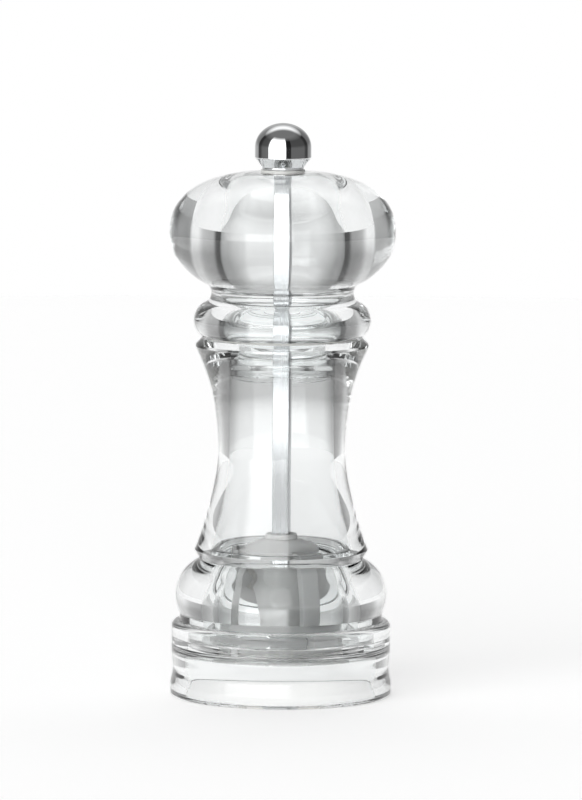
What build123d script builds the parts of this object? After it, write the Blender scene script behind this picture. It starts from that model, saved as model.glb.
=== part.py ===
"""Clear acrylic pepper mill with a ceramic grinder, turned by its head and set by a ball knob.

The frame is the mill's own: millimetres, +Z up along the axis it turns about, the origin at the
centre of the base ring's underside, and -Y the front. Pieces are listed from the base upwards.
"""

import os
from math import atan2, degrees, hypot, sqrt

from build123d import *

# ---- driving dimensions, millimetres ----
TOTAL_HEIGHT = 165.0
BASE_RADIUS = 31.9
HEAD_RADIUS = 32.45
WAIST_RADIUS = 18.3
SQUARE = 4.8  # the spindle's width across its flats
SPINDLE_TURN = -8.0  # how far the spindle's flats stand off the front, degrees
PITCH = 0.8  # of the thread that the knob runs on
RUNNING = 0.05  # radial clearance where one piece turns or slides in another
GLUED = 0.02  # clearance where one piece is glued or pressed into another

# ---- heights of the joins between the large clear pieces ----
WEB_LOW = 14.2
WEB_TOP = 16.4
BASE_TOP = 21.4
FLANGE_LOW = 42.0
FLANGE_TOP = 100.9
BODY_TOP = 103.2
SLIP_TOP = 103.8
HEAD_LOW = SLIP_TOP + RUNNING
CAVITY_TOP = 148.0
CROWN_TOP = 151.0

# ---- radii of the large clear pieces ----
SKIRT_BORE = 27.4
SOCKET_RADIUS = 26.9
COLLAR_BORE = 17.9  # of the collar that stands round the grinder
COLLAR_RADIUS = 19.5
COLLAR_HIGH = 41.8
BODY_BORE = 22.8
NECK_BORE = 14.85
HEAD_BORE = 17.9
CAVITY_FILLET = 10.0
SLIP_RADIUS = 21.5
SHOULDER = 1.6  # rounding of the base's upper edge
TWIST = 60.0  # how far the grinder turns to lock, degrees
LUG_WIDTH = 7.6
LUG_HEIGHT = 1.6
NOTCH_DEPTH = 5.4
PILLAR_WIDTH = 10.0
PILLAR_DEPTH = 8.0
SLOT_SPARE = 0.4  # height of the collar's slots above the lugs

# ---- grinder ----
RIM_RADIUS = 19.7  # of the housing's flange, under the web
NECK_RADIUS_LOW = 17.75  # of the housing and cage inside the collar
RING_LOW = 11.4
FLANGE_JOIN = 18.0
CAGE_FLANGE_TOP = 21.8
STATOR_RADIUS = 16.2
STATOR_LOW = 12.4
STATOR_TOP = 19.4
STATOR_THROAT = 14.9
STATOR_NIP = 12.4
STATOR_MOUTH = 13.4
NIP_HEIGHT = 15.2
ROTOR_LOW = 12.6
ROTOR_TOP = 20.0
ROTOR_CROWN = 9.9
ROTOR_NIP = 11.7
ROTOR_RIM = 12.8
STEM_RADIUS = 6.9
KEY_DEPTH = 1.6
KEY_WIDTH = 2.4
HUB_RADIUS = 6.0
ROOF_RADIUS = 11.0
ROOF_LOW = 41.2
HUB_LOW = 37.2
HUB_TOP = 44.1
BUSH_TOP = 45.9
JOURNAL_RADIUS = 4.05
COLUMN_RADIUS = 5.9
FLARE_RADIUS = 10.9  # of the carrier over the rotor
FLARE_LOW = 20.9
FLARE_TOP = 25.8
COLUMN_TOP = 35.7
POCKET_FLOOR = 27.0
POCKET_RADIUS = 4.75
LEG_ANGLES = (-174, -54, 66)  # degrees from +X
LEG_RADIUS = 12.2  # of each leg's inner face
LEG_THICK = 2.0
LEG_TOP_WIDTH = 8.0
LEG_FOOT_WIDTH = 4.6
LEG_FOOT = 20.4
ARM_ROOT = 9.0
ARM_TIP = 13.2
ARM_LOW = 38.0
ARM_ROOT_LOW = 39.2
FOOT_TIP = 17.4
FOOT_TIP_TOP = 22.4
FOOT_ROOT_TOP = 24.4

# ---- knob and spindle ends ----
WASHER_TOP = CROWN_TOP + 0.6
NECK_RADIUS = 6.0
SEAT_RADIUS = 6.3
KNOB_RADIUS = 8.15
KNOB_DOME = 6.9
INSERT_RADIUS = 4.1
INSERT_TOP = 160.9
THREAD_RADIUS = 2.4
THREAD_DEPTH = 0.3
SQUARE_LOW = 12.55
SQUARE_TOP = 150.5
THREAD_TOP = 159.2
TAIL_RADIUS = 2.0
TAIL_LOW = 9.8
CLIP_LOW = 10.7
CLIP_THICK = 0.6
CLIP_RADIUS = 4.3
END_WASHER_RADIUS = 6.2

os.makedirs("parts", exist_ok=True)


def keep(part, name):
    """Labels a finished piece and writes it to its own STEP file."""
    part.part.label = name
    export_step(part.part, f"parts/{name}.step")


# ================= large clear pieces =================

with BuildPart() as base_ring:
    with BuildSketch(Plane.XZ):
        with BuildLine():
            Polyline(
                (SKIRT_BORE + 0.6, 0),
                (BASE_RADIUS - 0.6, 0),
                (BASE_RADIUS, 0.6),
                (BASE_RADIUS, 3.0),
            )
            # the foot swells a little beyond the skirt
            Spline(
                (BASE_RADIUS, 3.0),
                (BASE_RADIUS - 0.6, 6.5),
                (BASE_RADIUS - 0.3, 12.5),
                tangents=[(0, 1), (0.01, 1)],
            )
            Line((BASE_RADIUS - 0.3, 12.5), (BASE_RADIUS - 0.3, BASE_TOP - SHOULDER))
            RadiusArc(
                (BASE_RADIUS - 0.3, BASE_TOP - SHOULDER),
                (BASE_RADIUS - 0.3 - SHOULDER, BASE_TOP),
                -SHOULDER,
            )
            Polyline(
                (BASE_RADIUS - 0.3 - SHOULDER, BASE_TOP),
                (SOCKET_RADIUS, BASE_TOP),
                (SOCKET_RADIUS, WEB_TOP),
                (COLLAR_BORE, WEB_TOP),
                (COLLAR_BORE, WEB_LOW),
                (SKIRT_BORE - 2.5, WEB_LOW),
            )
            RadiusArc((SKIRT_BORE - 2.5, WEB_LOW), (SKIRT_BORE, WEB_LOW - 2.5), 2.5)
            Polyline(
                (SKIRT_BORE, WEB_LOW - 2.5), (SKIRT_BORE, 0.6), (SKIRT_BORE + 0.6, 0)
            )
        make_face()
    revolve(axis=Axis.Z)
    # three notches let the grinder's lugs pass through the web
    with BuildSketch(Plane.XY.offset(WEB_LOW)):
        with PolarLocations(COLLAR_BORE, 3, start_angle=LEG_ANGLES[2] + TWIST):
            Rectangle(NOTCH_DEPTH, LUG_WIDTH + 0.8)
    extrude(amount=WEB_TOP - WEB_LOW, mode=Mode.SUBTRACT)
keep(base_ring, "base_ring")

with BuildPart() as feed_collar:
    with BuildSketch(Plane.XY.offset(WEB_TOP + GLUED)):
        Circle(COLLAR_RADIUS)
        Circle(COLLAR_BORE, mode=Mode.SUBTRACT)
    extrude(amount=COLLAR_HIGH - WEB_TOP - GLUED)
    # it stands on three pillars, with room for the grinder's lugs to twist between them
    with BuildSketch(Plane.XY.offset(WEB_TOP)):
        Circle(COLLAR_RADIUS + 1)
        Circle(COLLAR_BORE - 1, mode=Mode.SUBTRACT)
        with PolarLocations(COLLAR_BORE, 3, start_angle=LEG_ANGLES[2] - TWIST / 2):
            Rectangle(PILLAR_DEPTH, PILLAR_WIDTH, mode=Mode.SUBTRACT)
    extrude(amount=LUG_HEIGHT + SLOT_SPARE, mode=Mode.SUBTRACT)
keep(feed_collar, "feed_collar")

with BuildPart() as body_shell:
    with BuildSketch(Plane.XZ):
        with BuildLine():
            Polyline(
                (BODY_BORE, WEB_TOP + RUNNING),
                (SOCKET_RADIUS - RUNNING, WEB_TOP + RUNNING),
                (SOCKET_RADIUS - RUNNING, BASE_TOP),
                (29.4, BASE_TOP),
                (29.1, 23.6),
            )
            ThreePointArc((29.1, 23.6), (30.4, 28.6), (23.5, 39.3))
            Polyline((23.5, 39.3), (23.9, 40.2), (25.0, FLANGE_LOW))
            Spline(
                (25.0, FLANGE_LOW),
                (20.3, 57.0),
                (WAIST_RADIUS, 69.5),
                (18.75, 79.0),
                (19.95, 87.0),
                (24.95, FLANGE_TOP),
                tangents=[(-0.42, 1), (0.46, 1)],
            )
            Polyline(
                (24.95, FLANGE_TOP),
                (24.75, FLANGE_TOP + 0.7),
                (23.2, BODY_TOP),
                (NECK_BORE, BODY_TOP),
                (NECK_BORE, 88.0),
            )
            Spline(
                (NECK_BORE, 88.0),
                (15.0, 72.0),
                (15.8, 62.0),
                (17.4, 53.5),
                (19.2, 46.2),
                (20.35, 41.5),
                (BODY_BORE, 33.0),
                tangents=[(0, -1), (0, -1)],
            )
            Line((BODY_BORE, 33.0), (BODY_BORE, WEB_TOP + RUNNING))
        make_face()
    revolve(axis=Axis.Z)
keep(body_shell, "body_shell")

with BuildPart() as slip_ring:
    with BuildSketch(Plane.XY.offset(BODY_TOP)):
        Circle(SLIP_RADIUS)
        Circle(NECK_BORE + 0.6, mode=Mode.SUBTRACT)
    extrude(amount=SLIP_TOP - BODY_TOP)
keep(slip_ring, "slip_ring")

with BuildPart() as head_shell:
    with BuildSketch(Plane.XZ):
        with BuildLine():
            Line((HEAD_BORE, HEAD_LOW), (23.2, HEAD_LOW))
            ThreePointArc((23.2, HEAD_LOW), (25.45, 108.6), (22.6, 113.3))
            ThreePointArc((22.6, 113.3), (20.5, 116.0), (21.6, 118.8))
            Spline(
                (21.6, 118.8),
                (28.3, 123.6),
                (31.35, 128.0),
                (HEAD_RADIUS, 133.7),
                (31.3, 139.9),
                (27.6, 144.8),
                (19.6, 149.1),
                (7.2, CROWN_TOP),
                tangents=[(1, 0.4), (-1, 0)],
            )
            Polyline((7.2, CROWN_TOP), (0, CROWN_TOP), (0, CAVITY_TOP))
            Line((0, CAVITY_TOP), (HEAD_BORE - CAVITY_FILLET, CAVITY_TOP))
            RadiusArc(
                (HEAD_BORE - CAVITY_FILLET, CAVITY_TOP),
                (HEAD_BORE, CAVITY_TOP - CAVITY_FILLET),
                CAVITY_FILLET,
            )
            Line((HEAD_BORE, CAVITY_TOP - CAVITY_FILLET), (HEAD_BORE, HEAD_LOW))
        make_face()
    revolve(axis=Axis.Z)
    # the square hole that drives the spindle
    with BuildSketch(Plane.XY.offset(CAVITY_TOP)):
        Rectangle(SQUARE + 2 * RUNNING, SQUARE + 2 * RUNNING, rotation=SPINDLE_TURN)
    extrude(amount=CROWN_TOP - CAVITY_TOP, mode=Mode.SUBTRACT)
keep(head_shell, "head_shell")

# ================= plug that closes the head =================

COLLAR_TOP = 113.0
SPIGOT_LOW = 94.2
PLUG_FLOOR = 96.6
PLUG_WALL = 1.0
SPIGOT_WALL = 1.6
PLUG_HOLE = 6.5
SPIGOT_RADIUS = NECK_BORE - 0.15
with BuildPart() as head_plug:
    with BuildSketch(Plane.XZ):
        with BuildLine():
            Polyline(
                (PLUG_HOLE, PLUG_FLOOR),
                (SPIGOT_RADIUS - SPIGOT_WALL, PLUG_FLOOR),
                (SPIGOT_RADIUS - SPIGOT_WALL, SPIGOT_LOW),
                (SPIGOT_RADIUS - 0.5, SPIGOT_LOW),
                (SPIGOT_RADIUS, SPIGOT_LOW + 0.5),
                (SPIGOT_RADIUS, HEAD_LOW),
                (HEAD_BORE - GLUED, HEAD_LOW),
                (HEAD_BORE - GLUED, COLLAR_TOP),
                (HEAD_BORE - PLUG_WALL, COLLAR_TOP),
                (HEAD_BORE - PLUG_WALL, HEAD_LOW + SPIGOT_WALL),
                (SPIGOT_RADIUS - SPIGOT_WALL, HEAD_LOW + SPIGOT_WALL),
                (SPIGOT_RADIUS - SPIGOT_WALL, PLUG_FLOOR + SPIGOT_WALL),
                (PLUG_HOLE, PLUG_FLOOR + SPIGOT_WALL),
                close=True,
            )
        make_face()
    revolve(axis=Axis.Z)
keep(head_plug, "head_plug")

# ================= grinder: fixed pieces =================

with BuildPart() as grinder_cage:
    # foot ring with its funnel mouth
    with BuildSketch(Plane.XZ):
        with BuildLine():
            Polyline(
                (STATOR_RADIUS, FLANGE_JOIN),
                (NECK_RADIUS_LOW, FLANGE_JOIN),
                (NECK_RADIUS_LOW, CAGE_FLANGE_TOP),
                (NECK_RADIUS_LOW - 0.4, CAGE_FLANGE_TOP),
                (STATOR_THROAT, STATOR_TOP),
                (STATOR_RADIUS, STATOR_TOP),
                close=True,
            )
        make_face()
    revolve(axis=Axis.Z)
    # hub under a conical roof that sheds the peppercorns
    with BuildSketch(Plane.XZ):
        with BuildLine():
            Polyline(
                (JOURNAL_RADIUS, HUB_LOW),
                (HUB_RADIUS, HUB_LOW),
                (HUB_RADIUS, 39.6),
                (ROOF_RADIUS, 40.2),
                (ROOF_RADIUS, ROOF_LOW),
                (5.3, HUB_TOP),
                (JOURNAL_RADIUS, HUB_TOP),
                close=True,
            )
        make_face()
    revolve(axis=Axis.Z)
    # three legs, each a plate that narrows downwards, with an arm at its head and a foot
    for angle in LEG_ANGLES:
        across = Plane.XZ.rotated((0, 0, angle))
        facing = Plane(origin=(0, 0, 0), x_dir=-across.z_dir, z_dir=across.x_dir)
        with BuildSketch(facing.offset(LEG_RADIUS)):
            Polygon(
                (-LEG_TOP_WIDTH / 2, ROOF_LOW),
                (LEG_TOP_WIDTH / 2, ROOF_LOW),
                (LEG_FOOT_WIDTH / 2, LEG_FOOT),
                (-LEG_FOOT_WIDTH / 2, LEG_FOOT),
                align=None,
            )
        extrude(amount=LEG_THICK)
        with BuildSketch(across):
            Polygon(
                (ARM_ROOT, ARM_ROOT_LOW),
                (ARM_TIP, ARM_LOW),
                (ARM_TIP, ROOF_LOW),
                (ARM_ROOT, ROOF_LOW),
                align=None,
            )
        extrude(amount=LEG_TOP_WIDTH / 2 - 0.6, both=True)
        with BuildSketch(across):
            Polygon(
                (LEG_RADIUS, LEG_FOOT),
                (FOOT_TIP, LEG_FOOT),
                (FOOT_TIP, FOOT_TIP_TOP),
                (LEG_RADIUS, FOOT_ROOT_TOP),
                align=None,
            )
        extrude(amount=LEG_FOOT_WIDTH / 2, both=True)
keep(grinder_cage, "grinder_cage")

with BuildPart() as stator_housing:
    with BuildSketch(Plane.XZ):
        with BuildLine():
            Polyline(
                (STATOR_RADIUS, RING_LOW),
                (RIM_RADIUS - 0.4, RING_LOW),
                (RIM_RADIUS, RING_LOW + 0.4),
                (RIM_RADIUS, WEB_LOW - RUNNING),
                (NECK_RADIUS_LOW, WEB_LOW - RUNNING),
                (NECK_RADIUS_LOW, FLANGE_JOIN),
                (STATOR_RADIUS, FLANGE_JOIN),
                close=True,
            )
        make_face()
    revolve(axis=Axis.Z)
    # bayonet lugs that sit on the base ring's web
    with BuildSketch(Plane.XY.offset(WEB_TOP + RUNNING)):
        with PolarLocations(NECK_RADIUS_LOW + 0.9, 3, start_angle=LEG_ANGLES[2]):
            Rectangle(3.0, LUG_WIDTH)
    extrude(amount=LUG_HEIGHT - RUNNING)
    # finger grooves for twisting the grinder out
    with BuildSketch(Plane.XY.offset(RING_LOW)):
        with PolarLocations(RIM_RADIUS + 0.3, 12, start_angle=LEG_ANGLES[2] + 15):
            Circle(0.9)
    extrude(amount=1.6, mode=Mode.SUBTRACT)
keep(stator_housing, "stator_housing")

with BuildPart() as stator_retainer:
    with BuildSketch(Plane.XY.offset(RING_LOW + 0.1)):
        Circle(STATOR_RADIUS - GLUED)
        Circle(STATOR_MOUTH + 0.5, mode=Mode.SUBTRACT)
    extrude(amount=STATOR_LOW - RING_LOW - 0.1 - GLUED)
keep(stator_retainer, "stator_retainer")


def cone_groove(low_radius, low_z, top_radius, top_z, depth, lean):
    """A square bar along a cone's side, turned on edge to cut a V groove that leans round it."""
    slope = degrees(atan2(top_radius - low_radius, top_z - low_z))
    side = depth * sqrt(2)
    length = 1.3 * hypot(top_radius - low_radius, top_z - low_z)
    bar = Box(side, side, length, mode=Mode.PRIVATE)
    bar = bar.rotate(Axis.Z, 45).rotate(Axis.X, lean).rotate(Axis.Y, slope)
    return Pos((low_radius + top_radius) / 2, 0, (low_z + top_z) / 2) * bar


STATOR_TEETH = 24
with BuildPart() as stator_ring:
    with BuildSketch(Plane.XZ):
        with BuildLine():
            Polyline(
                (STATOR_MOUTH, STATOR_LOW),
                (STATOR_RADIUS - GLUED, STATOR_LOW),
                (STATOR_RADIUS - GLUED, STATOR_TOP - GLUED),
                (STATOR_THROAT, STATOR_TOP - GLUED),
                (STATOR_NIP, NIP_HEIGHT),
                close=True,
            )
        make_face()
    revolve(axis=Axis.Z)
    feed_groove = cone_groove(STATOR_NIP, NIP_HEIGHT, STATOR_THROAT, STATOR_TOP, 0.8, 14)
    with PolarLocations(0, STATOR_TEETH):
        add(feed_groove, mode=Mode.SUBTRACT)
    nip_groove = cone_groove(STATOR_MOUTH, STATOR_LOW, STATOR_NIP, NIP_HEIGHT, 0.4, 20)
    with PolarLocations(0, 2 * STATOR_TEETH):
        add(nip_groove, mode=Mode.SUBTRACT)
keep(stator_ring, "stator_ring")

# ================= grinder: turning pieces =================

with BuildPart() as rotor_carrier:
    with BuildSketch(Plane.XZ):
        with BuildLine():
            Polyline(
                (0, ROTOR_LOW),
                (STEM_RADIUS, ROTOR_LOW),
                (STEM_RADIUS, ROTOR_TOP),
                (FLARE_RADIUS, ROTOR_TOP),
                (FLARE_RADIUS, FLARE_LOW),
                (COLUMN_RADIUS, FLARE_TOP),
                (COLUMN_RADIUS, COLUMN_TOP),
                (POCKET_RADIUS, COLUMN_TOP),
                (POCKET_RADIUS, POCKET_FLOOR),
                (0, POCKET_FLOOR),
                close=True,
            )
        make_face()
    revolve(axis=Axis.Z)
    with BuildSketch(Plane.XY.offset(ROTOR_LOW)):
        Rectangle(SQUARE + 2 * GLUED, SQUARE + 2 * GLUED, rotation=SPINDLE_TURN)
    extrude(amount=POCKET_FLOOR - ROTOR_LOW, mode=Mode.SUBTRACT)
    # keys that turn the ceramic rotor with the carrier
    with BuildSketch(Plane.XY.offset(ROTOR_LOW)):
        with PolarLocations(STEM_RADIUS, 3):
            Rectangle(KEY_DEPTH, KEY_WIDTH)
    extrude(amount=ROTOR_TOP - ROTOR_LOW)
keep(rotor_carrier, "rotor_carrier")

ROTOR_BLADES = 12
ROTOR_TEETH = 36
with BuildPart() as grinding_rotor:
    with BuildSketch(Plane.XZ):
        with BuildLine():
            Polyline(
                (STEM_RADIUS + GLUED, ROTOR_LOW),
                (ROTOR_RIM, ROTOR_LOW),
                (ROTOR_NIP, NIP_HEIGHT),
                (ROTOR_CROWN, ROTOR_TOP - GLUED),
                (STEM_RADIUS + GLUED, ROTOR_TOP - GLUED),
                close=True,
            )
        make_face()
    revolve(axis=Axis.Z)
    with BuildSketch(Plane.XY.offset(ROTOR_LOW)):
        with PolarLocations(STEM_RADIUS, 3):
            Rectangle(KEY_DEPTH + 2 * GLUED, KEY_WIDTH + 2 * GLUED)
    extrude(amount=ROTOR_TOP - ROTOR_LOW, mode=Mode.SUBTRACT)
    # deep blades draw whole peppercorns down, and fine teeth finish them at the rim
    blade = cone_groove(ROTOR_NIP, NIP_HEIGHT, ROTOR_CROWN, ROTOR_TOP, 1.4, -24)
    tooth = cone_groove(ROTOR_RIM, ROTOR_LOW, ROTOR_NIP, NIP_HEIGHT, 0.42, -24)
    with PolarLocations(0, ROTOR_BLADES):
        add(blade, mode=Mode.SUBTRACT)
    with PolarLocations(0, ROTOR_TEETH):
        add(tooth, mode=Mode.SUBTRACT)
keep(grinding_rotor, "grinding_rotor")

with BuildPart() as spindle_bush:
    with BuildSketch(Plane.XZ):
        with BuildLine():
            Polyline(
                (0, HUB_LOW),
                (JOURNAL_RADIUS - RUNNING, HUB_LOW),
                (JOURNAL_RADIUS - RUNNING, HUB_TOP + RUNNING),
                (4.6, HUB_TOP + RUNNING),
                (4.6, BUSH_TOP - 0.3),
                (4.3, BUSH_TOP),
                (0, BUSH_TOP),
                close=True,
            )
        make_face()
    revolve(axis=Axis.Z)
    with BuildSketch(Plane.XY.offset(HUB_LOW)):
        Rectangle(SQUARE + 2 * RUNNING, SQUARE + 2 * RUNNING, rotation=SPINDLE_TURN)
    extrude(amount=BUSH_TOP - HUB_LOW, mode=Mode.SUBTRACT)
keep(spindle_bush, "spindle_bush")

THRUST_THICK = 0.65
THRUST_LOW = HUB_LOW - RUNNING - THRUST_THICK
with BuildPart() as thrust_washer:
    with BuildSketch(Plane.XY.offset(THRUST_LOW)):
        Circle(POCKET_RADIUS - 0.15)
        Circle(3.55, mode=Mode.SUBTRACT)
    extrude(amount=THRUST_THICK)
keep(thrust_washer, "thrust_washer")

WIRE_RADIUS = 0.3
COIL_RADIUS = 4.1
SPRING_TURNS = 6
SPRING_HEIGHT = THRUST_LOW - POCKET_FLOOR - 2 * WIRE_RADIUS - 0.04
with BuildPart() as adjusting_spring:
    with BuildLine():
        coil = Helix(
            pitch=SPRING_HEIGHT / SPRING_TURNS,
            height=SPRING_HEIGHT,
            radius=COIL_RADIUS,
            center=(0, 0, POCKET_FLOOR + WIRE_RADIUS + 0.02),
        )
    with BuildSketch(Plane(origin=coil @ 0, z_dir=coil % 0)):
        Circle(WIRE_RADIUS)
    sweep()
keep(adjusting_spring, "adjusting_spring")

# ================= spindle and what holds it =================

with BuildPart() as spindle:
    with BuildSketch(Plane.XY.offset(SQUARE_LOW)):
        Rectangle(SQUARE, SQUARE, rotation=SPINDLE_TURN)
    extrude(amount=SQUARE_TOP - SQUARE_LOW)
    chamfer(spindle.edges().filter_by(Axis.Z), length=0.18)
    # tail that takes the washer and the clip
    with BuildSketch(Plane.XZ):
        with BuildLine():
            Polyline(
                (0, TAIL_LOW),
                (TAIL_RADIUS - 0.3, TAIL_LOW),
                (TAIL_RADIUS, TAIL_LOW + 0.3),
                (TAIL_RADIUS, CLIP_LOW - RUNNING),
                (TAIL_RADIUS - 0.45, CLIP_LOW - RUNNING),
                (TAIL_RADIUS - 0.45, CLIP_LOW + CLIP_THICK + RUNNING),
                (TAIL_RADIUS, CLIP_LOW + CLIP_THICK + RUNNING),
                (TAIL_RADIUS, SQUARE_LOW),
                (0, SQUARE_LOW),
                close=True,
            )
        make_face()
    revolve(axis=Axis.Z)
    # threaded end, each thread drawn as a ring of the same pitch and depth
    with BuildSketch(Plane.XZ):
        with BuildLine():
            crests = int((THREAD_TOP - SQUARE_TOP - 0.6) / PITCH)
            outline = [(0, SQUARE_TOP), (THREAD_RADIUS - THREAD_DEPTH, SQUARE_TOP)]
            for turn in range(crests):
                root = SQUARE_TOP + 0.3 + turn * PITCH
                outline.append((THREAD_RADIUS - THREAD_DEPTH, root))
                outline.append((THREAD_RADIUS, root + PITCH / 2))
            outline.append((THREAD_RADIUS - THREAD_DEPTH, THREAD_TOP - 0.3))
            outline.append((THREAD_RADIUS - 0.7, THREAD_TOP))
            outline.append((0, THREAD_TOP))
            Polyline(*outline, close=True)
        make_face()
    revolve(axis=Axis.Z)
keep(spindle, "spindle")

with BuildPart() as end_washer:
    with BuildSketch(Plane.XY.offset(CLIP_LOW + CLIP_THICK + RUNNING)):
        Circle(END_WASHER_RADIUS)
        Circle(TAIL_RADIUS + 0.1, mode=Mode.SUBTRACT)
    extrude(amount=SQUARE_LOW - CLIP_LOW - CLIP_THICK - 2 * RUNNING)
keep(end_washer, "end_washer")

with BuildPart() as retaining_clip:
    with BuildSketch(Plane.XY.offset(CLIP_LOW)):
        Circle(CLIP_RADIUS)
        Circle(TAIL_RADIUS - 0.4, mode=Mode.SUBTRACT)
        with Locations((0, -3.2)):
            Rectangle(2.6, 4.6, mode=Mode.SUBTRACT)
        with PolarLocations(2.5, 2, start_angle=20, angular_range=140):
            Circle(0.85, mode=Mode.SUBTRACT)
    extrude(amount=CLIP_THICK)
keep(retaining_clip, "retaining_clip")

# ================= knob =================

with BuildPart() as seat_washer:
    with BuildSketch(Plane.XY.offset(CROWN_TOP)):
        Circle(SEAT_RADIUS)
        Circle(3.6, mode=Mode.SUBTRACT)
    extrude(amount=WASHER_TOP - CROWN_TOP)
    chamfer(seat_washer.edges().sort_by(Axis.Z)[-1], length=0.15)
keep(seat_washer, "seat_washer")

DOME_LOW = TOTAL_HEIGHT - KNOB_DOME
QUARTER = 0.5523  # handle length that makes a cubic curve follow a quarter of an ellipse
with BuildPart() as knob_shell:
    with BuildSketch(Plane.XZ):
        with BuildLine():
            Polyline(
                (INSERT_RADIUS, WASHER_TOP + RUNNING),
                (NECK_RADIUS, WASHER_TOP + RUNNING),
                (NECK_RADIUS, 152.4),
                (KNOB_RADIUS, 155.1),
                (KNOB_RADIUS, DOME_LOW),
            )
            Bezier(
                (KNOB_RADIUS, DOME_LOW),
                (KNOB_RADIUS, DOME_LOW + QUARTER * KNOB_DOME),
                (QUARTER * KNOB_RADIUS, TOTAL_HEIGHT),
                (0, TOTAL_HEIGHT),
            )
            Polyline(
                (0, TOTAL_HEIGHT),
                (0, INSERT_TOP),
                (INSERT_RADIUS, INSERT_TOP),
                (INSERT_RADIUS, WASHER_TOP + RUNNING),
            )
        make_face()
    revolve(axis=Axis.Z)
keep(knob_shell, "knob_shell")

with BuildPart() as knob_insert:
    with BuildSketch(Plane.XY.offset(WASHER_TOP + 0.4)):
        Circle(INSERT_RADIUS - GLUED)
        with PolarLocations(INSERT_RADIUS, 12):
            Circle(0.35, mode=Mode.SUBTRACT)
        Circle(THREAD_RADIUS + RUNNING, mode=Mode.SUBTRACT)
    extrude(amount=INSERT_TOP - WASHER_TOP - 0.4 - GLUED)
keep(knob_insert, "knob_insert")
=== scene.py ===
"""Clear acrylic pepper mill: polished turned shells, plated knob, square drawn spindle and a white grinder."""

import bpy
import numpy as np
from bpy.props import FloatProperty, FloatVectorProperty, IntProperty, PointerProperty
from mathutils import Matrix, Vector


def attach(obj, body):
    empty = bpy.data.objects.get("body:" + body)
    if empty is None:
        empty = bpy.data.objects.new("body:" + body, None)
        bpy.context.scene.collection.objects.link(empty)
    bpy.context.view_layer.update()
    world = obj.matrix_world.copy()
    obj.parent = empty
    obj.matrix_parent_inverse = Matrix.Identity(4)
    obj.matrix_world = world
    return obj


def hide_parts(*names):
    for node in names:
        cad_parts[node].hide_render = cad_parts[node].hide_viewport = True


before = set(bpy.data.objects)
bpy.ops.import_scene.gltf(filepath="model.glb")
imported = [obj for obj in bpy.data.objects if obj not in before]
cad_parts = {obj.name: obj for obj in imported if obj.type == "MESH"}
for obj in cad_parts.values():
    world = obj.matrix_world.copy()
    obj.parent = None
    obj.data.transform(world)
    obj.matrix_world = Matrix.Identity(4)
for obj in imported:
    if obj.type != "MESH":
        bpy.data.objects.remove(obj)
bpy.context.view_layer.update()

bl_info = {
    "name": "Pepper Mill",
    "version": (1, 0, 0),
    "blender": (4, 5, 0),
    "location": "View3D > Sidebar > Pepper Mill",
    "description": "Builds the clear shells, knob, spindle, grinder and studio of a turned pepper mill",
    "category": "Object",
}

MM = 0.001

# millimetres and degrees of the mill's details
NOTCH_CENTRE, NOTCH_HALF, NOTCH_DEPTH = 126, 4.2, 2.7
PILLAR_CENTRE, PILLAR_HALF, PILLAR_HEIGHT = 36, 5.0, 1.98
LEG_ANGLES = (-174, -54, 66)
# how near the axis a bore's points lie, and half its width across the flats
HEAD_BORE, CARRIER_BORE, BUSH_BORE = (3.5, 2.45), (3.3, 2.42), (3.2, 2.45)
KNOB_RADIUS, KNOB_EQUATOR, KNOB_RISE = 8.15, 158.1, 6.9
THREAD_START, THREAD_PITCH, THREAD_TURNS = 150.8, 0.8, 10
THREAD_ROOT, THREAD_CREST = 2.1, 2.4
SPRING_LOW, SPRING_HIGH, SPRING_RADIUS = 27.32, 36.18, 4.1
COILS, STEPS_A_COIL = 6, 28

# metres of the stage, and the brightness that a ramp is scaled by
FLOOR_RADIUS, FLOOR_DROP, FLOOR_SIDES = 1.2, 0.0001, 96
LOOK_AT = (0.0026, 0, 0.0852)
FRAME_HEIGHT = 0.2301
SENSOR_MM = 36
BRIGHTEST = 5


# ---------------------------------------------------------------- colours and nodes


def srgb(code):
    """Linear red, green and blue of an sRGB hex colour."""
    c = np.array([int(code[i : i + 2], 16) for i in (0, 2, 4)]) / 255.0
    return tuple(np.where(c <= 0.04045, c / 12.92, ((c + 0.055) / 1.055) ** 2.4))


def add_node(tree, kind, settings=None, **links):
    """Adds a node, sets its attributes and its input values, and links the inputs that are given a socket."""
    node = tree.nodes.new(kind)
    for key, value in (settings or {}).items():
        if hasattr(node, key):
            setattr(node, key, value)
        else:
            node.inputs[key].default_value = value
    for key, socket in links.items():
        tree.links.new(socket, node.inputs[key.replace("_", " ")])
    return node


def blend(tree, factor, first, second, kind="MIX"):
    """Mixes or multiplies two colours. Each of the three inputs is a value or a socket."""
    node = add_node(tree, "ShaderNodeMix", {"data_type": "RGBA", "blend_type": kind})
    for index, given in ((0, factor), (6, first), (7, second)):
        if isinstance(given, bpy.types.NodeSocket):
            tree.links.new(given, node.inputs[index])
        else:
            node.inputs[index].default_value = given
    return node.outputs[2]


def new_material(name):
    """An empty node material with its output, and its tree."""
    material = bpy.data.materials.new(name)
    material.use_nodes = True
    tree = material.node_tree
    tree.nodes.clear()
    return material, tree, tree.nodes.new("ShaderNodeOutputMaterial")


# ---------------------------------------------------------------- profiles


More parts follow.
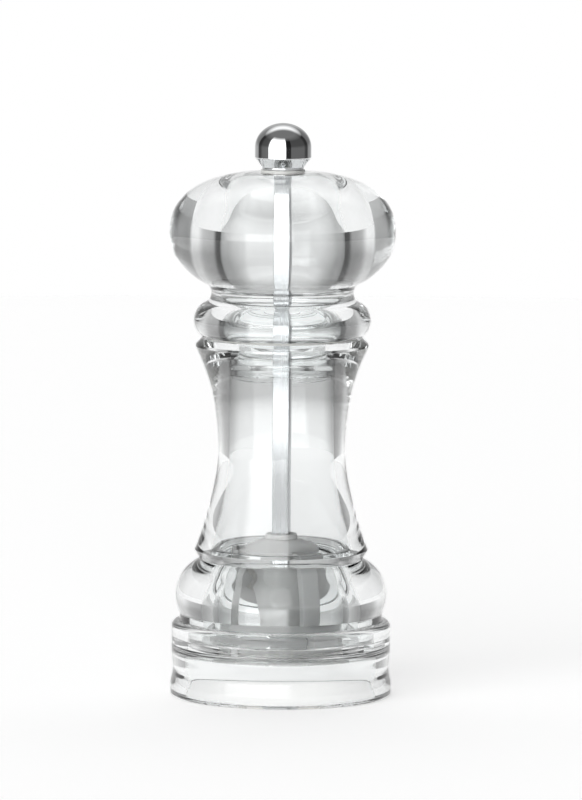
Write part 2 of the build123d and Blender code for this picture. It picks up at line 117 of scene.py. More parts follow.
def arc(start, through, end, steps=24):
    """Circle arc: the centre is equidistant from three points, and the angle runs evenly between the ends."""
    (ax, ay), (bx, by), (cx, cy) = start, through, end
    d = 2 * (ax * (by - cy) + bx * (cy - ay) + cx * (ay - by))
    a2, b2, c2 = ax * ax + ay * ay, bx * bx + by * by, cx * cx + cy * cy
    ox = (a2 * (by - cy) + b2 * (cy - ay) + c2 * (ay - by)) / d
    oy = (a2 * (cx - bx) + b2 * (ax - cx) + c2 * (bx - ax)) / d
    t0, t1, t2 = (np.arctan2(y - oy, x - ox) for x, y in (start, through, end))
    turn = np.mod(t2 - t0, 2 * np.pi)
    if np.mod(t1 - t0, 2 * np.pi) > turn:
        turn -= 2 * np.pi
    t = t0 + turn * np.linspace(0, 1, steps + 1)
    radius = np.hypot(ax - ox, ay - oy)
    return np.stack([ox + radius * np.cos(t), oy + radius * np.sin(t)], 1)


def curve(points, start=None, end=None, steps=14):
    """Cubic spline through the points, with chord lengths as the parameter.

    The slopes are solved so that the bend is continuous, and the end directions are held where they are given.
    """
    p = np.array(points, float)
    n = len(p)
    h = np.hypot(*np.diff(p, axis=0).T)
    a = np.zeros((n, n))
    b = np.zeros((n, 2))
    k = np.arange(1, n - 1)
    a[k, k - 1] = h[k]
    a[k, k] = 2 * (h[k - 1] + h[k])
    a[k, k + 1] = h[k - 1]
    rise = np.diff(p, axis=0) / h[:, None]
    b[k] = 3 * (h[k][:, None] * rise[k - 1] + h[k - 1][:, None] * rise[k])
    for row, near, step, way, value in ((0, 1, 0, 1, start), (n - 1, n - 2, n - 2, -1, end)):
        if value is None:
            a[row, row], a[row, near] = 2, 1
            b[row] = 3 * rise[step]
        else:
            a[row, row] = 1
            b[row] = np.array(value) / np.hypot(*value)
    m = np.linalg.solve(a, b)
    t = np.linspace(0, 1, steps + 1)[None, :-1, None]
    p0, p1 = p[:-1, None], p[1:, None]
    m0, m1 = m[:-1, None] * h[:, None, None], m[1:, None] * h[:, None, None]
    q = (2 * t**3 - 3 * t**2 + 1) * p0 + (t**3 - 2 * t**2 + t) * m0
    q = q + (3 * t**2 - 2 * t**3) * p1 + (t**3 - t**2) * m1
    return np.vstack([q.reshape(-1, 2), p[-1:]])


def outline(*pieces):
    """Joins points and runs of points into one list without repeats."""
    rows = np.vstack([np.atleast_2d(np.array(piece, float)) for piece in pieces])
    keep = np.r_[True, np.hypot(*np.diff(rows, axis=0).T) > 1e-4]
    return rows[keep]


def eased(profile, radius, closed=True, steps=5):
    """Rounds each corner that turns by more than 15 degrees.

    A parabola runs from a point before the corner to one after it, tangent to both sides.
    """
    p = np.array(profile, float)
    if closed and np.hypot(*(p[0] - p[-1])) < 1e-4:
        p = p[:-1]
    before, after = np.roll(p, 1, 0), np.roll(p, -1, 0)
    u, v = p - before, after - p
    lu, lv = np.hypot(*u.T), np.hypot(*v.T)
    u, v = u / np.maximum(lu, 1e-9)[:, None], v / np.maximum(lv, 1e-9)[:, None]
    turn = np.arccos(np.clip((u * v).sum(1), -1, 1))
    corner = turn > np.radians(15)
    if not closed:
        corner[[0, -1]] = False
    cut = np.minimum(radius * np.tan(turn / 2), 0.45 * np.minimum(lu, lv))
    t = np.linspace(0, 1, steps + 1)[:, None]
    runs = [
        (1 - t) ** 2 * (p[i] - cut[i] * u[i]) + 2 * t * (1 - t) * p[i] + t**2 * (p[i] + cut[i] * v[i])
        if corner[i]
        else p[i : i + 1]
        for i in range(len(p))
    ]
    return outline(*runs)


# ---------------------------------------------------------------- surfaces


def anticlockwise(p):
    """The outline, turned round where the sum of its corners' cross products is below zero."""
    area = (p[:, 0] * np.roll(p[:, 1], -1) - np.roll(p[:, 0], -1) * p[:, 1]).sum()
    return p if area > 0 else p[::-1]


def outward(p, closed=True):
    """Unit normals of an outline: the mean of both neighbouring edges' normals, weighted by length."""
    edge = np.roll(p, -1, 0) - p
    if not closed:
        edge[-1] = 0
    normal = np.stack([edge[:, 1], -edge[:, 0]], 1)
    normal = normal + np.roll(normal, 1, 0)
    return normal / np.maximum(np.hypot(*normal.T), 1e-12)[:, None]


def strips(rings, sides, closed=False):
    """Quads between each ring of points and the next, and on to the first ring where it is closed."""
    i, j = np.meshgrid(np.arange(rings if closed else rings - 1), np.arange(sides), indexing="ij")
    i1, j1 = (i + 1) % rings, (j + 1) % sides
    return np.stack([i * sides + j, i * sides + j1, i1 * sides + j1, i1 * sides + j], 2).reshape(-1, 4)


def lathe(profile, sides, closed=True):
    """Surface of revolution: the profile's point (r, z), carried to the angle t, is (r cos t, r sin t, z).

    Normals are weighted by the edges' lengths, so that flats stay flat beside rounded corners. Returns points,
    quads and normals.
    """
    p = np.array(profile, float)
    if closed:
        p = anticlockwise(p)
    elif p[0, 1] > p[-1, 1]:
        p = p[::-1]
    normal = outward(p, closed)
    t = np.arange(sides) * 2 * np.pi / sides
    c, s = np.cos(t)[None], np.sin(t)[None]
    points = np.stack([p[:, :1] * c, p[:, :1] * s, p[:, 1:] + 0 * c], 2)
    normals = np.stack([normal[:, :1] * c, normal[:, :1] * s, normal[:, 1:] + 0 * c], 2)
    return points.reshape(-1, 3), strips(len(p), sides, closed), normals.reshape(-1, 3)


def pipe(path, radius, sides=10):
    """Round wire along a path.

    At each point of the path a circle of the given radius stands across the path's direction, and the two ends
    are capped by a ring of no radius.
    """
    path = np.array(path, float)
    along = np.gradient(path, axis=0)
    along /= np.linalg.norm(along, axis=1)[:, None]
    side = np.cross(along, [0, 0, 1.0])
    side /= np.linalg.norm(side, axis=1)[:, None]
    up = np.cross(side, along)
    path, side, up = (np.vstack([a[:1], a, a[-1:]]) for a in (path, side, up))
    size = np.full(len(path), radius)
    size[[0, -1]] = 0
    t = np.arange(sides) * 2 * np.pi / sides
    ring = side[:, None] * np.cos(t)[None, :, None] + up[:, None] * np.sin(t)[None, :, None]
    points = path[:, None] + size[:, None, None] * ring
    return points.reshape(-1, 3), strips(len(path), sides), ring.reshape(-1, 3)


def slab(shape, low, high, place, ease=0.25, steps=3):
    """Plate with rounded rims, closed by one polygon at each face.

    The outline is drawn inwards by ease (1 - sin a) while its height climbs by ease (1 - cos a), and the same
    again at the other face. place turns a row of (u, v, height) into (x, y, z).
    """
    p = anticlockwise(np.array(shape, float))
    a = np.linspace(0, np.pi / 2, steps + 1)
    inset = np.r_[1 - np.sin(a), 1 - np.sin(a)[::-1]] * ease
    height = np.r_[low + ease * (1 - np.cos(a)), high - ease * (1 - np.cos(a)[::-1])]
    uv = p[None] - inset[:, None, None] * outward(p)[None]
    levels = np.concatenate([uv, np.broadcast_to(height[:, None, None], uv.shape[:2] + (1,))], 2)
    points = place(levels.reshape(-1, 3))
    rows, sides = uv.shape[:2]
    faces = strips(rows, sides).tolist()
    faces.append(list(range(sides))[::-1])
    faces.append([(rows - 1) * sides + k for k in range(sides)])
    return points, faces, None


def square_bore(surface, reach, half, turn):
    """Turns a round bore into a square one.

    Every point nearer the axis than reach goes to the radius half / max(|cos|, |sin|) of its angle from the
    square's own turn, and its normal becomes that of the side it lies on.
    """
    points, faces, normals = (np.array(a) for a in surface)
    from_axis = np.hypot(points[:, 0], points[:, 1])
    near = (from_axis < reach) & (from_axis > 1e-6)
    angle = np.arctan2(points[near, 1], points[near, 0])
    c, s = np.cos(angle - turn), np.sin(angle - turn)
    radius = half / np.maximum(abs(c), abs(s))
    points[near, 0], points[near, 1] = radius * np.cos(angle), radius * np.sin(angle)
    side = turn + np.round((angle - turn) / (np.pi / 2)) * np.pi / 2
    upright = np.abs(normals[near, 2]) < 0.5
    flat = np.stack([-np.cos(side), -np.sin(side), 0 * side], 1)
    normals[near] = np.where(upright[:, None], flat, normals[near])
    return points, faces, normals


def sector(points, centre, half_width):
    """True where a point lies within half_width of one of three half planes that start at the axis.

    The first stands at the angle centre and the others a third of a turn apart.
    """
    angle = np.arctan2(points[:, 1], points[:, 0]) - centre
    angle = np.mod(angle + np.pi / 3, 2 * np.pi / 3) - np.pi / 3
    return np.abs(np.hypot(points[:, 0], points[:, 1]) * np.sin(angle)) < half_width


def piece(name, surfaces, material, body, replaced, slot):
    """Makes one object from surfaces in millimetres, hangs it on its CAD body and hides the CAD nodes that it
    replaces.
    """
    points, faces, normals, start = [], [], [], 0
    for p, f, n in surfaces:
        points.append(p)
        rows = f.tolist() if isinstance(f, np.ndarray) else f
        faces += [[k + start for k in row] for row in rows]
        normals.append(n)
        start += len(p)
    mesh = bpy.data.meshes.new(name)
    mesh.from_pydata((np.vstack(points) * MM).tolist(), [], faces)
    mesh.validate()
    mesh.shade_smooth()
    if all(n is not None for n in normals):
        mesh.normals_split_custom_set_from_vertices(np.vstack(normals).tolist())
    obj = bpy.data.objects.new(name, mesh)
    bpy.context.scene.collection.objects.link(obj)
    if any(n is None for n in normals):
        smooth_by_angle(obj)
    mesh.materials.append(material)
    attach(obj, body)
    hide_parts(*replaced)
    return obj


def smooth_by_angle(obj, angle=35):
    """Marks edges that turn by more than the angle as sharp, so that only rounded rims shade smoothly."""
    obj.data.set_sharp_from_angle(angle=np.radians(angle))


# ---------------------------------------------------------------- materials


def clear_acrylic():
    """Cast acrylic, turned and flame-polished: water-clear, with faint lathe rings in its gloss."""
    material, tree, out = new_material("polished cast acrylic")
    place = add_node(tree, "ShaderNodeTexCoord").outputs["Object"]
    rings = add_node(tree, "ShaderNodeMapping", {"Scale": (60, 60, 900)}, Vector=place)
    noise = add_node(tree, "ShaderNodeTexNoise", {"Scale": 1.0, "Detail": 2.0}, Vector=rings.outputs[0])
    limits = {"From Min": 0.45, "From Max": 0.8, "To Min": 0.0, "To Max": 0.035}
    rough = add_node(tree, "ShaderNodeMapRange", limits, Value=noise.outputs[0])
    shader = add_node(
        tree,
        "ShaderNodeBsdfPrincipled",
        {"Base Color": (*srgb("FDFEFE"), 1), "IOR": 1.49, "Transmission Weight": 1.0},
        Roughness=rough.outputs[0],
    )
    tree.links.new(shader.outputs[0], out.inputs["Surface"])
    depth = add_node(tree, "ShaderNodeVolumeAbsorption", {"Color": (*srgb("F2F5F5"), 1), "Density": 6.0})
    tree.links.new(depth.outputs[0], out.inputs["Volume"])
    return material


def plastic(name, colour, roughness, grain, bump, scatter=0.0):
    """Injection-moulded plastic: an even colour, a fine spark-eroded skin and a slightly uneven gloss.

    grain is the size of the skin's grain in millimetres.
    """
    material, tree, out = new_material(name)
    place = add_node(tree, "ShaderNodeTexCoord").outputs["Object"]
    skin = add_node(tree, "ShaderNodeTexNoise", {"Scale": 1000 / grain, "Detail": 3.0}, Vector=place)
    cloud = add_node(tree, "ShaderNodeTexNoise", {"Scale": 120.0, "Detail": 2.0}, Vector=place)
    tone = blend(tree, cloud.outputs[0], (*(0.97 * c for c in colour), 1), (*colour, 1))
    limits = {"To Min": roughness - 0.06, "To Max": roughness + 0.08}
    rough = add_node(tree, "ShaderNodeMapRange", limits, Value=cloud.outputs[0])
    relief = add_node(tree, "ShaderNodeBump", {"Strength": bump, "Distance": 0.00005}, Height=skin.outputs[0])
    shader = add_node(
        tree,
        "ShaderNodeBsdfPrincipled",
        {"IOR": 1.49, "Subsurface Weight": scatter, "Subsurface Radius": (1, 1, 1), "Subsurface Scale": 0.003},
        Base_Color=tone,
        Roughness=rough.outputs[0],
        Normal=relief.outputs[0],
    )
    tree.links.new(shader.outputs[0], out.inputs["Surface"])
    return material


def metal(name, colour, roughness, spread, stretch, bump):
    """Bare or plated metal: a grain stretched along the tool's path streaks the gloss and gives a low relief."""
    material, tree, out = new_material(name)
    place = add_node(tree, "ShaderNodeTexCoord").outputs["Object"]
    lined = add_node(tree, "ShaderNodeMapping", {"Scale": stretch}, Vector=place)
    grain = add_node(tree, "ShaderNodeTexNoise", {"Scale": 1.0, "Detail": 4.0}, Vector=lined.outputs[0])
    limits = {"From Min": 0.3, "From Max": 0.7, "To Min": roughness, "To Max": roughness + spread}
    rough = add_node(tree, "ShaderNodeMapRange", limits, Value=grain.outputs[0])
    relief = add_node(tree, "ShaderNodeBump", {"Strength": bump, "Distance": 0.00002}, Height=grain.outputs[0])
    tone = blend(tree, grain.outputs[0], (*(0.92 * c for c in colour), 1), (*colour, 1))
    shader = add_node(
        tree,
        "ShaderNodeBsdfPrincipled",
        {"Metallic": 1.0},
        Base_Color=tone,
        Roughness=rough.outputs[0],
        Normal=relief.outputs[0],
    )
    tree.links.new(shader.outputs[0], out.inputs["Surface"])
    return material


def make_materials(colours):
    """All of the mill's finishes by name."""
    return {
        "acrylic": clear_acrylic(),
        "nylon": plastic("natural nylon", tuple(colours.nylon), 0.35, 0.2, 0.2, 0.3),
        "white": plastic("white moulded acetal", tuple(colours.white_plastic), 0.38, 0.25, 0.25, 0.6),
        "ceramic": plastic("fired alumina ceramic", tuple(colours.ceramic), 0.55, 0.12, 0.6),
        "chrome": metal("chrome plate on brass", tuple(colours.chrome), 0.02, 0.03, (40, 40, 300), 0.05),
        "aluminium": metal("drawn aluminium bar", tuple(colours.aluminium), 0.24, 0.06, (1200, 1200, 8), 0.08),
        "steel": metal("bright spring steel", srgb("B9BCBF"), 0.2, 0.15, (500, 500, 500), 0.2),
        "brass": metal("turned brass", srgb("C9A24B"), 0.2, 0.12, (80, 80, 2500), 0.3),
    }


# ---------------------------------------------------------------- properties


class MillSizes(bpy.types.PropertyGroup):
    """Sizes that change how the mill is drawn, in millimetres."""

    sides: IntProperty(
        name="Sides",
        description="Steps around the axis of each turned shell",
        default=256,
        min=48,
        max=360,
    )
    edge: FloatProperty(
        name="Polished edge",
        description="Radius that polishing leaves on the clear shells' edges, mm",
        default=0.3,
        min=0.05,
        max=0.6,
    )
    moulded_edge: FloatProperty(
        name="Moulded edge",
        description="Radius on the edges of the white mouldings, mm",
        default=0.25,
        min=0.05,
        max=0.5,
    )
    spindle: FloatProperty(
        name="Spindle width",
        description="Width across the spindle's flats, mm",
        default=4.8,
        min=4.0,
        max=5.0,
    )
    spindle_turn: FloatProperty(
        name="Spindle turn",
        description="How far the spindle's flats stand off the front",
        default=np.radians(-8.0),
        subtype="ANGLE",
    )
    wire: FloatProperty(
        name="Spring wire",
        description="Radius of the spring's wire, mm",
        default=0.3,
        min=0.1,
        max=0.4,
    )


class MillColours(bpy.types.PropertyGroup):
    """Colours of the mill's finishes."""

    white_plastic: FloatVectorProperty(
        name="White plastic",
        description="Colour of the white mouldings",
        subtype="COLOR",
        size=3,
        min=0,
        max=1,
        default=srgb("FFFFFD"),
    )
    ceramic: FloatVectorProperty(
        name="Ceramic",
        description="Colour of the fired grinder",
        subtype="COLOR",
        size=3,
        min=0,
        max=1,
        default=srgb("EFEDE8"),
    )
    nylon: FloatVectorProperty(
        name="Nylon",
        description="Colour of the sliding washers",
        subtype="COLOR",
        size=3,
        min=0,
        max=1,
        default=srgb("F0F0EC"),
    )
    chrome: FloatVectorProperty(
        name="Chrome",
        description="Colour of the plated knob",
        subtype="COLOR",
        size=3,
        min=0,
        max=1,
        default=srgb("E4E5E6"),
    )
    aluminium: FloatVectorProperty(
        name="Aluminium",
        description="Colour of the drawn spindle",
        subtype="COLOR",
        size=3,
        min=0,
        max=1,
        default=srgb("B9BBBD"),
    )


class MillStage(bpy.types.PropertyGroup):
    """The studio's light and camera."""

    distance: FloatProperty(
        name="Camera distance",
        description="From the mill's axis, metres",
        default=2.0,
        min=0.5,
        subtype="DISTANCE",
        unit="LENGTH",
    )
    elevation: FloatProperty(
        name="Camera elevation",
        description="How far the camera looks down",
        default=np.radians(6.35),
        subtype="ANGLE",
    )
    roll: FloatProperty(
        name="Camera roll",
        description="Turn of the camera about its own view",
        default=np.radians(0.29),
        subtype="ANGLE",
    )
    backdrop: FloatProperty(
        name="Room brightness",
        description="Strength of the whole room, backdrop included",
        default=1.0,
        min=0,
    )


MATERIALS = {}


def sizes():
    """The sizes that the add-on's panel shows."""
    return bpy.context.scene.mill_sizes


# ---------------------------------------------------------------- operators


class MILL_OT_finishes(bpy.types.Operator):
    """Makes the mill's materials"""

    bl_idname = "mill.finishes"
    bl_label = "Make finishes"

    def execute(self, context):
        MATERIALS.update(make_materials(context.scene.mill_colours))
        return {"FINISHED"}


class MILL_OT_shells(bpy.types.Operator):
    """Builds the clear turned shells: base, body, head and the head's plug"""

    bl_idname = "mill.shells"
    bl_label = "Build clear shells"

    def execute(self, context):
        size = sizes()
        base = outline(
            (28.0, 0), (31.3, 0), (31.9, 0.6),
            curve([(31.9, 3.0), (31.3, 6.5), (31.6, 12.5)], (0, 1), (0.01, 1), 14),
            arc((31.6, 19.8), (31.131, 20.931), (30.0, 21.4), 12),
            (26.9, 21.4), (26.9, 16.4), (17.9, 16.4), (17.9, 14.2),
            arc((24.9, 14.2), (26.668, 13.468), (27.4, 11.7), 12),
            (27.4, 0.6),
        )
        body = outline(
            (22.8, 16.45), (26.85, 16.45), (26.85, 21.4), (29.4, 21.4),
            arc((29.1, 23.6), (30.4, 28.6), (23.5, 39.3), 40),
            (23.9, 40.2),
            curve(
                [(25.0, 42.0), (20.3, 57.0), (18.3, 69.5), (18.75, 79.0), (19.95, 87.0), (24.95, 100.9)],
                (-0.42, 1), (0.46, 1), 20,
            ),
            (24.75, 101.6), (23.2, 103.2), (14.85, 103.2),
            curve(
                [
                    (14.85, 88.0), (15.0, 72.0), (15.8, 62.0), (17.4, 53.5), (19.2, 46.2), (20.35, 41.5),
                    (22.8, 33.0),
                ],
                (0, -1), (0, -1), 16,
            ),
        )
        head = outline(
            (17.9, 103.85),
            arc((23.2, 103.85), (25.45, 108.6), (22.6, 113.3), 24),
            arc((22.6, 113.3), (20.5, 116.0), (21.6, 118.8), 20),
            curve(
                [
                    (21.6, 118.8), (28.3, 123.6), (31.35, 128.0), (32.45, 133.7), (31.3, 139.9), (27.6, 144.8),
                    (19.6, 149.1), (7.2, 151.0),
                ],
                (1, 0.4), (-1, 0), 16,
            ),
            (3.0, 151.0), (3.0, 148.0),
            arc((7.9, 148.0), (14.971, 145.071), (17.9, 138.0), 24),
        )
        plug = outline(
            (6.5, 96.6), (13.1, 96.6), (13.1, 94.2), (14.2, 94.2), (14.7, 94.7), (14.7, 103.85),
            (17.88, 103.85), (17.88, 113.0), (16.9, 113.0), (16.9, 105.45), (13.1, 105.45), (13.1, 98.2),
            (6.5, 98.2),
        )
        collar = [(17.9, 16.42), (19.5, 16.42), (19.5, 41.8), (17.9, 41.8)]
        for name, profile, rides, node in (
            ("base", base, "mill_body", "base_ring"),
            ("collar", collar, "mill_body", "feed_collar"),
            ("body", body, "mill_body", "body_shell"),
            ("head", head, "head", "head_shell"),
            ("plug", plug, "head", "head_plug"),
        ):
            surface = lathe(eased(profile, size.edge), size.sides)
            points = surface[0]
            if name == "base":
                # three notches in the web's inner edge
                from_axis = np.hypot(points[:, 0], points[:, 1])
                inner = (points[:, 2] > 14) & (points[:, 2] < 16.5) & (from_axis < 18.6)
                notch = inner & sector(points, np.radians(NOTCH_CENTRE), NOTCH_HALF)
                points[notch, :2] *= (1 + NOTCH_DEPTH / from_axis[notch])[:, None]
            if name == "collar":
                # the lower edge stands on three pillars
                slot = (points[:, 2] < 18) & ~sector(points, np.radians(PILLAR_CENTRE), PILLAR_HALF)
                points[slot, 2] += PILLAR_HEIGHT
            if name == "head":
                surface = square_bore(surface, *HEAD_BORE, size.spindle_turn)
            piece(name, [surface], MATERIALS["acrylic"], rides, [node], "clear_acrylic")
        film = eased([(15.45, 103.2), (21.5, 103.2), (21.5, 103.8), (15.45, 103.8)], 0.1)
        piece("slip_film", [lathe(film, 128)], MATERIALS["nylon"], "mill_body", ["slip_ring"], "clear_nylon")
        return {"FINISHED"}


class MILL_OT_knob(bpy.types.Operator):
    """Builds the plated ball knob"""

    bl_idname = "mill.knob"
    bl_label = "Build knob"

    def execute(self, context):
        t = np.linspace(0, np.pi / 2, 40)
        dome = np.stack([KNOB_RADIUS * np.cos(t), KNOB_EQUATOR + KNOB_RISE * np.sin(t)], 1)
        skin = outline((4.1, 151.65), (6.0, 151.65), (6.0, 152.4), (KNOB_RADIUS, 155.1), dome)
        skin = eased(skin, 0.5, closed=False)
        inside = [(0.0, 160.9), (4.1, 160.9), (4.1, 151.65)]
        profile = outline(skin, inside)
        piece("knob", [lathe(profile, 160)], MATERIALS["chrome"], "knob", ["knob_shell"], "chrome")
        return {"FINISHED"}


class MILL_OT_spindle(bpy.types.Operator):
    """Builds the square spindle with its threaded end and tail"""

    bl_idname = "mill.spindle"
    bl_label = "Build spindle"

    def execute(self, context):
        size = sizes()
        half = size.spindle / 2
        square = eased([(-half, -half), (half, -half), (half, half), (-half, half)], 0.22)
        c, s = np.cos(size.spindle_turn), np.sin(size.spindle_turn)
        turn = np.array([[c, s, 0], [-s, c, 0], [0, 0, 1]])
        bar = slab(square, 12.55, 150.5, lambda rows: rows @ turn, 0.15)
        low = THREAD_START + THREAD_PITCH * np.arange(THREAD_TURNS)
        root, crest = np.full(THREAD_TURNS, THREAD_ROOT), np.full(THREAD_TURNS, THREAD_CREST)
        rows = np.stack([root, low, crest, low + THREAD_PITCH / 2], 1).reshape(-1, 2)
        thread = outline((0, 150.3), (THREAD_ROOT, 150.3), rows, (THREAD_ROOT, 158.9), (1.7, 159.2), (0, 159.2))
        tail = outline(
            (0, 9.8), (1.7, 9.8), (2.0, 10.1), (2.0, 10.65), (1.55, 10.65), (1.55, 11.35), (2.0, 11.35),
            (2.0, 12.8), (0, 12.8),
        )
        surfaces = [bar, lathe(thread, 32), lathe(tail, 32)]
        piece("square_spindle", surfaces, MATERIALS["aluminium"], "spindle_set", ["spindle"], "aluminium")
        return {"FINISHED"}


class MILL_OT_grinder(bpy.types.Operator):
    """Builds the white cage, its housing, the rotor's carrier and the bush"""

    bl_idname = "mill.grinder"
    bl_label = "Build grinder"

    def execute(self, context):
        size = sizes()
        soft = size.moulded_edge
        white = MATERIALS["white"]
        roof = eased(
            [(4.05, 37.2), (6.0, 37.2), (6.0, 39.6), (11.0, 40.2), (11.0, 41.2), (5.3, 44.1), (4.05, 44.1)],
            soft,
        )
        foot = eased(
            [(16.2, 18.0), (17.75, 18.0), (17.75, 21.8), (17.35, 21.8), (14.9, 19.4), (16.2, 19.4)],
            soft,
        )
        plate = [(-4.0, 41.2), (-2.3, 20.4), (2.3, 20.4), (4.0, 41.2)]
        arm = [(9.0, 39.2), (13.2, 38.0), (13.2, 41.2), (9.0, 41.2)]
        toe = [(12.2, 20.4), (17.4, 20.4), (17.4, 22.4), (12.2, 24.4)]
        legs = []
        for angle in np.radians(LEG_ANGLES):
            out = np.array([np.cos(angle), np.sin(angle), 0])
            across = np.array([np.sin(angle), -np.cos(angle), 0])
            facing = np.stack([-across, [0, 0, 1.0], out])
            standing = np.stack([out, [0, 0, 1.0], across])
            legs.append(slab(eased(plate, 0.4), 12.2, 14.2, lambda rows, m=facing: rows @ m, soft))
            legs.append(slab(eased(arm, 0.4), -3.4, 3.4, lambda rows, m=standing: rows @ m, soft))
            legs.append(slab(eased(toe, 0.4), -2.3, 2.3, lambda rows, m=standing: rows @ m, soft))
        surfaces = [lathe(roof, 96), lathe(foot, 128), *legs]
        piece("cage", surfaces, white, "mill_body", ["grinder_cage"], "white_plastic")

        turn = size.spindle_turn
        column = eased(
            [
                (2.9, 12.6), (6.9, 12.6), (6.9, 20.0), (10.9, 20.0), (10.9, 20.9), (5.9, 25.8), (5.9, 35.7),
                (4.75, 35.7), (4.75, 27.0), (2.9, 27.0),
            ],
            soft,
        )
        drilled = square_bore(lathe(column, 96), *CARRIER_BORE, turn)
        piece("carrier", [drilled], white, "spindle_set", ["rotor_carrier"], "white_plastic")
        bush = eased(
            [(2.9, 37.2), (4.0, 37.2), (4.0, 44.15), (4.6, 44.15), (4.6, 45.6), (4.3, 45.9), (2.9, 45.9)],
            0.15,
        )
        drilled = square_bore(lathe(bush, 96), *BUSH_BORE, turn)
        piece("bush", [drilled], white, "drive", ["spindle_bush"], "white_plastic")
        keeper = eased([(13.9, 11.5), (16.18, 11.5), (16.18, 12.38), (13.9, 12.38)], 0.1)
        piece("keeper", [lathe(keeper, 128)], white, "mill_body", ["stator_retainer"], "white_plastic")
        return {"FINISHED"}


class MILL_OT_spring(bpy.types.Operator):
    """Builds the coil spring under the hub"""

    bl_idname = "mill.spring"
    bl_label = "Build spring"

    def execute(self, context):
        t = np.linspace(0, 1, COILS * STEPS_A_COIL + 1)
        angle = 2 * COILS * np.pi * t
        climb = SPRING_LOW + (SPRING_HIGH - SPRING_LOW) * t
        coil = np.stack([SPRING_RADIUS * np.cos(angle), SPRING_RADIUS * np.sin(angle), climb], 1)
        wire = pipe(coil, sizes().wire)
        piece("coil_spring", [wire], MATERIALS["steel"], "spindle_set", ["adjusting_spring"], "steel")
        return {"FINISHED"}


class MILL_OT_carried_over(bpy.types.Operator):
    """Gives the CAD nodes that stay their finishes"""

    bl_idname = "mill.carried_over"
    bl_label = "Finish carried-over nodes"

    def execute(self, context):
        for node, finish in (
            ("stator_housing", "white"),
            ("stator_ring", "ceramic"),
            ("grinding_rotor", "ceramic"),
            ("thrust_washer", "steel"),
            ("end_washer", "steel"),
            ("retaining_clip", "steel"),
            ("seat_washer", "nylon"),
            ("knob_insert", "brass"),
        ):
            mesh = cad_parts[node].data
            mesh.materials.clear()
            mesh.materials.append(MATERIALS[finish])
        return {"FINISHED"}


class MILL_OT_stage(bpy.types.Operator):
    """Sets the floor, the studio's light and the camera"""

    bl_idname = "mill.stage"
    bl_label = "Set stage"

    def execute(self, context):
        scene = context.scene
        stage = scene.mill_stage
        scene.view_settings.view_transform = "Standard"
        scene.cycles.max_bounces = 32
        scene.cycles.transmission_bounces = 32
        scene.cycles.glossy_bounces = 8
        scene.cycles.transparent_max_bounces = 16
        world = bpy.data.worlds.new("studio")
        world.use_nodes = True
        scene.world = world
        light_room(world.node_tree, stage)

        # a disc: (R cos t, R sin t) a little below the foot
        t = np.arange(FLOOR_SIDES) * 2 * np.pi / FLOOR_SIDES
        rim = np.stack([FLOOR_RADIUS * np.cos(t), FLOOR_RADIUS * np.sin(t), 0 * t - FLOOR_DROP], 1)
        mesh = bpy.data.meshes.new("floor")
        mesh.from_pydata(rim.tolist(), [], [list(range(FLOOR_SIDES))])
        floor = bpy.data.objects.new("floor", mesh)
        scene.collection.objects.link(floor)
        material, tree, out = new_material("white paper sweep")
        shader = add_node(
            tree,
            "ShaderNodeBsdfPrincipled",
            {
                "Base Color": (*srgb("F4F4F4"), 1),
                "Roughness": 0.9,
                "Emission Color": (1, 1, 1, 1),
                "Emission Strength": 0.5,
            },
        )
        tree.links.new(shader.outputs[0], out.inputs["Surface"])
        mesh.materials.append(material)

        target = Vector(LOOK_AT)
        away = Vector((0, -np.cos(stage.elevation), np.sin(stage.elevation)))
        camera = bpy.data.objects.new("camera", bpy.data.cameras.new("camera"))
        scene.collection.objects.link(camera)
        tilt = Matrix.Rotation(np.pi / 2 - stage.elevation, 4, "X") @ Matrix.Rotation(stage.roll, 4, "Z")
        camera.matrix_world = Matrix.Translation(target + away * stage.distance) @ tilt
        camera.data.sensor_width = SENSOR_MM
        camera.data.lens = SENSOR_MM * stage.distance / FRAME_HEIGHT
        scene.camera = camera
        return {"FINISHED"}


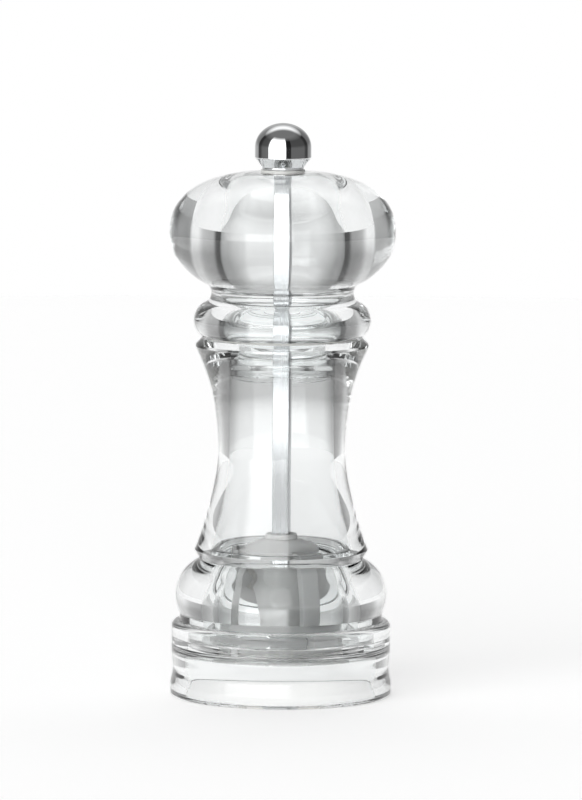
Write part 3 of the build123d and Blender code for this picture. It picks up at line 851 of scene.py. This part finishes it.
def light_room(tree, stage):
    """The room's brightness by direction.

    A white panel stands behind the mill and fades to grey flags, with a near-black flag at each side, a
    window at the front left and a grey ceiling. The camera itself sees plain white.
    """
    tree.nodes.clear()
    out = tree.nodes.new("ShaderNodeOutputWorld")
    way = add_node(tree, "ShaderNodeTexCoord").outputs["Generated"]
    part = add_node(tree, "ShaderNodeSeparateXYZ", Vector=way)
    turn = add_node(tree, "ShaderNodeMath", {"operation": "ARCTAN2"})
    tree.links.new(part.outputs["X"], turn.inputs[0])
    tree.links.new(part.outputs["Y"], turn.inputs[1])
    # degrees from the back, negative to the left, and the brightness there
    around = (
        (-180, 4.4), (-124, 4.4), (-117, 0.2), (-86, 0.16), (-76, 0.07), (-64, 0.07), (-57, 0.45), (-44, 0.5),
        (-30, 0.6), (-13, 1.0), (13, 1.0), (30, 0.5), (44, 0.38), (57, 0.34), (64, 0.07), (76, 0.07),
        (86, 0.16), (146, 0.16), (149, 0.03), (168, 0.03), (171, 4.4), (180, 4.4),
    )
    level = ramp(tree, turn.outputs[0], [(np.radians(at), bright) for at, bright in around], -np.pi, np.pi)
    # the sine of the height: the panel ends a little above the horizon
    upward = ((-1, 1.0), (-0.04, 1.0), (0.03, 0.88), (0.17, 0.55), (0.7, 0.5), (1, 0.4))
    shade = ramp(tree, part.outputs["Z"], upward, -1, 1)
    lit = blend(tree, 1.0, level, shade, "MULTIPLY")
    # overhead and underfoot the direction around the axis stops mattering
    steep = add_node(tree, "ShaderNodeMath", {"operation": "ABSOLUTE"})
    tree.links.new(part.outputs["Z"], steep.inputs[0])
    height = add_node(tree, "ShaderNodeMapRange", {"From Min": 0.6, "From Max": 0.85}, Value=steep.outputs[0])
    # the backdrop sweeps up overhead behind the mill
    limits = {"From Min": 0.15, "From Max": 0.5, "To Min": 0.22, "To Max": 1.4}
    sweep = add_node(
        tree, "ShaderNodeMapRange", {"interpolation_type": "SMOOTHSTEP", **limits}, Value=part.outputs["Y"]
    )
    room = blend(tree, height.outputs[0], lit, sweep.outputs[0])
    seen = add_node(tree, "ShaderNodeLightPath").outputs["Is Camera Ray"]
    mixed = blend(tree, seen, room, (1, 1, 1, 1))
    back = add_node(tree, "ShaderNodeBackground", {"Strength": stage.backdrop}, Color=mixed)
    tree.links.new(back.outputs[0], out.inputs["Surface"])


def ramp(tree, value, stops, low, high):
    """Brightness that runs straight between stops, each (value, brightness), over values from low to high.

    A stop can't be brighter than one, so it holds its brightness over BRIGHTEST, and the ramp is multiplied by
    that afterwards.
    """
    place = add_node(tree, "ShaderNodeMapRange", {"From Min": low, "From Max": high}, Value=value)
    node = add_node(tree, "ShaderNodeValToRGB", Fac=place.outputs[0])
    elements = node.color_ramp.elements
    while len(elements) < len(stops):
        elements.new(0.5)
    for element, (at, bright) in zip(elements, stops):
        element.position = (at - low) / (high - low)
        element.color = (*[bright / BRIGHTEST] * 3, 1)
    return blend(tree, 1.0, node.outputs[0], (*[BRIGHTEST] * 3, 1), "MULTIPLY")


class MILL_PT_panel(bpy.types.Panel):
    """Lists the mill's sizes, colours and steps"""

    bl_label = "Pepper Mill"
    bl_idname = "MILL_PT_panel"
    bl_space_type = "VIEW_3D"
    bl_region_type = "UI"
    bl_category = "Pepper Mill"

    def draw(self, context):
        scene = context.scene
        for group in (scene.mill_sizes, scene.mill_colours, scene.mill_stage):
            box = self.layout.box()
            for name in group.__annotations__:
                box.prop(group, name)
        for step in STEPS:
            self.layout.operator(step.bl_idname)


STEPS = (
    MILL_OT_finishes,
    MILL_OT_shells,
    MILL_OT_knob,
    MILL_OT_spindle,
    MILL_OT_grinder,
    MILL_OT_spring,
    MILL_OT_carried_over,
    MILL_OT_stage,
)
CLASSES = (MillSizes, MillColours, MillStage, *STEPS, MILL_PT_panel)


def register():
    for kind in CLASSES:
        bpy.utils.register_class(kind)
    bpy.types.Scene.mill_sizes = PointerProperty(type=MillSizes)
    bpy.types.Scene.mill_colours = PointerProperty(type=MillColours)
    bpy.types.Scene.mill_stage = PointerProperty(type=MillStage)


def unregister():
    for name in ("mill_sizes", "mill_colours", "mill_stage"):
        delattr(bpy.types.Scene, name)
    for kind in reversed(CLASSES):
        bpy.utils.unregister_class(kind)


def main():
    """Registers the add-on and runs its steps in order."""
    register()
    for step in STEPS:
        group, name = step.bl_idname.split(".")
        getattr(getattr(bpy.ops, group), name)()


if __name__ == "__main__":
    main()
